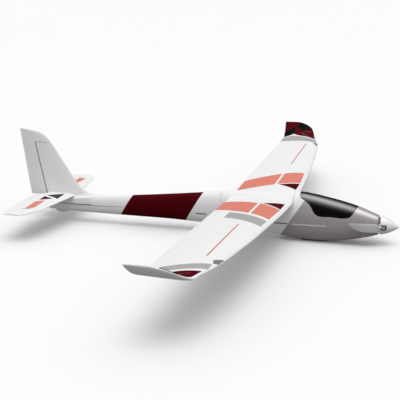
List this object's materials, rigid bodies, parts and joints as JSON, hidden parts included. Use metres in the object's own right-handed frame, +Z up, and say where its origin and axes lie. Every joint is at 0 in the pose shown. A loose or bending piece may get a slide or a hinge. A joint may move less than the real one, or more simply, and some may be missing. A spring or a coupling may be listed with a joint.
{
  "type": "rc sailplane",
  "caption": "Electric radio-controlled foam sailplane with up-turned wing tips, folding propeller, hinged control surfaces, pushrod linkages and a lift-off canopy hatch.",
  "frame": {"origin": "the middle of the flat face of the belly skid, on which the aircraft rests, in its plane of symmetry", "axes": "+X forward to the nose, +Y to the left wing tip, +Z up"},
  "size_m": [0.9569, 1.5024, 0.235],
  "materials": {
    "foam": "moulded foam, painted in places, satin",
    "canopy": "high gloss black",
    "grey_plastic": "satin moulded",
    "white_plastic": "moulded",
    "black_plastic": "moulded",
    "servo_case": "translucent blue case",
    "steel": "drawn wire and turned",
    "aluminium": "machined",
    "copper": "enamelled windings",
    "carbon": "pultruded carbon tube",
    "plywood": "bare plywood",
    "battery_film": "shrink film",
    "hook_tape": "woven hook and loop tape"
  },
  "bodies": {
    "airframe": {"fuselage_left": "foam", "fuselage_right": "foam", "wing_centre_section": "foam", "wing_panel_left": "foam", "wing_panel_right": "foam", "wing_joiner_tube": "carbon", "wing_screw_left": "white_plastic", "wing_screw_right": "white_plastic", "stabilizer_left": "foam", "stabilizer_right": "foam", "stabilizer_joiner_tube": "carbon", "firewall": "plywood", "motor_stator": "copper", "battery_tray": "plywood", "battery_pack": "battery_film", "battery_strap": "hook_tape", "speed_controller": "black_plastic", "receiver": "black_plastic", "rudder_servo": "servo_case", "elevator_servo": "servo_case", "rudder_guide_tube": "white_plastic", "elevator_guide_tube": "white_plastic", "aileron_servo_left": "servo_case", "aileron_servo_right": "servo_case", "belly_skid": "black_plastic", "tail_skid": "white_plastic", "bay_magnet": "steel", "aileron_hinge_wire_left": "steel", "aileron_hinge_wire_right": "steel", "rudder_hinge_wire": "steel"},
    "canopy": {"canopy_hatch": "canopy", "canopy_magnet": "steel"},
    "propeller": {"motor_bell": "aluminium", "motor_shaft": "steel", "blade_yoke": "aluminium", "spinner_backplate": "aluminium", "spinner": "grey_plastic", "blade_pin_left": "steel", "blade_pin_right": "steel"},
    "blade_left": {"blade_left": "grey_plastic"},
    "blade_right": {"blade_right": "grey_plastic"},
    "aileron_left": {"aileron_left": "foam", "aileron_horn_left": "white_plastic"},
    "aileron_right": {"aileron_right": "foam", "aileron_horn_right": "white_plastic"},
    "aileron_arm_left": {"aileron_servo_arm_left": "white_plastic"},
    "aileron_arm_right": {"aileron_servo_arm_right": "white_plastic"},
    "aileron_rod_left": {"aileron_pushrod_left": "steel"},
    "aileron_rod_right": {"aileron_pushrod_right": "steel"},
    "elevator": {"elevator_left": "foam", "elevator_right": "foam", "elevator_joiner_rod": "carbon", "elevator_horn": "white_plastic"},
    "elevator_arm": {"elevator_servo_arm": "white_plastic"},
    "elevator_rod": {"elevator_pushrod": "steel"},
    "rudder": {"rudder": "foam", "rudder_horn": "white_plastic"},
    "rudder_arm": {"rudder_servo_arm": "white_plastic"},
    "rudder_rod": {"rudder_pushrod": "steel"}
  },
  "joints": [
    {"name": "propeller_spin", "type": "hinge", "parent": "airframe", "child": "propeller", "pos_m": [0.1505, 0, 0.0472], "axis": [0.9976, 0, -0.0698], "continuous": true},
    {"name": "blade_fold_right", "type": "hinge", "parent": "propeller", "child": "blade_right", "pos_m": [0.16247, -0.021, 0.04636], "axis": [0.0698, 0, 0.9976], "range_deg": [0, 67.2]},
    {"name": "blade_fold_left", "type": "hinge", "parent": "propeller", "child": "blade_left", "pos_m": [0.16247, 0.021, 0.04636], "axis": [-0.0698, 0, -0.9976], "range_deg": [0, 67.2]},
    {"name": "canopy_tilt", "type": "hinge", "parent": "airframe", "child": "canopy", "pos_m": [0.102, 0, 0.0892], "axis": [0, 1, 0], "range_deg": [0, 70]},
    {"name": "aileron_deflect_left", "type": "hinge", "parent": "airframe", "child": "aileron_left", "pos_m": [-0.1825, 0.33, 0.10529], "axis": [0, 0.9991, 0.0432], "range_deg": [-20, 20]},
    {"name": "aileron_arm_turn_left", "type": "hinge", "parent": "airframe", "child": "aileron_arm_left", "pos_m": [-0.1125, 0.32995, 0.10649], "axis": [0, 0.9991, 0.0432], "range_deg": [-20, 20]},
    {"name": "aileron_rod_swing_left", "type": "hinge", "parent": "aileron_arm_left", "child": "aileron_rod_left", "pos_m": [-0.1125, 0.33055, 0.0925], "axis": [0, 0.9991, 0.0432], "range_deg": [-20, 20]},
    {"name": "aileron_deflect_right", "type": "hinge", "parent": "airframe", "child": "aileron_right", "pos_m": [-0.1825, -0.33, 0.10529], "axis": [0, 0.9991, -0.0432], "range_deg": [-20, 20]},
    {"name": "aileron_arm_turn_right", "type": "hinge", "parent": "airframe", "child": "aileron_arm_right", "pos_m": [-0.1125, -0.32995, 0.10649], "axis": [0, 0.9991, -0.0432], "range_deg": [-20, 20]},
    {"name": "aileron_rod_swing_right", "type": "hinge", "parent": "aileron_arm_right", "child": "aileron_rod_right", "pos_m": [-0.1125, -0.33055, 0.0925], "axis": [0, 0.9991, -0.0432], "range_deg": [-20, 20]},
    {"name": "elevator_deflect", "type": "hinge", "parent": "airframe", "child": "elevator", "pos_m": [-0.6795, 0, 0.0695], "axis": [0, 1, 0], "range_deg": [-20, 20]},
    {"name": "elevator_arm_turn", "type": "hinge", "parent": "airframe", "child": "elevator_arm", "pos_m": [-0.1625, -0.0126, 0.0695], "axis": [0, 1, 0], "range_deg": [-20, 20]},
    {"name": "elevator_rod_swing", "type": "hinge", "parent": "elevator_arm", "child": "elevator_rod", "pos_m": [-0.1625, -0.0126, 0.0495], "axis": [0, 1, 0], "range_deg": [-20, 20]},
    {"name": "rudder_deflect", "type": "hinge", "parent": "airframe", "child": "rudder", "pos_m": [-0.6905, 0, 0.069], "axis": [-0.2103, 0, 0.9776], "range_deg": [-20, 20]},
    {"name": "rudder_arm_turn", "type": "hinge", "parent": "airframe", "child": "rudder_arm", "pos_m": [-0.11297, -0.0116, 0.0341], "axis": [-0.2103, 0, 0.9776], "range_deg": [-20, 20]},
    {"name": "rudder_rod_swing", "type": "hinge", "parent": "rudder_arm", "child": "rudder_rod", "pos_m": [-0.11297, -0.0006, 0.0341], "axis": [-0.2103, 0, 0.9776], "range_deg": [-20, 20]}
  ],
  "couplings": [
    {"joint": "aileron_arm_turn_left", "follows": "aileron_deflect_left", "ratio": 1},
    {"joint": "aileron_rod_swing_left", "follows": "aileron_deflect_left", "ratio": -1},
    {"joint": "aileron_arm_turn_right", "follows": "aileron_deflect_right", "ratio": 1},
    {"joint": "aileron_rod_swing_right", "follows": "aileron_deflect_right", "ratio": -1},
    {"joint": "elevator_arm_turn", "follows": "elevator_deflect", "ratio": 1},
    {"joint": "elevator_rod_swing", "follows": "elevator_deflect", "ratio": -1},
    {"joint": "rudder_arm_turn", "follows": "rudder_deflect", "ratio": 1},
    {"joint": "rudder_rod_swing", "follows": "rudder_deflect", "ratio": -1}
  ]
}
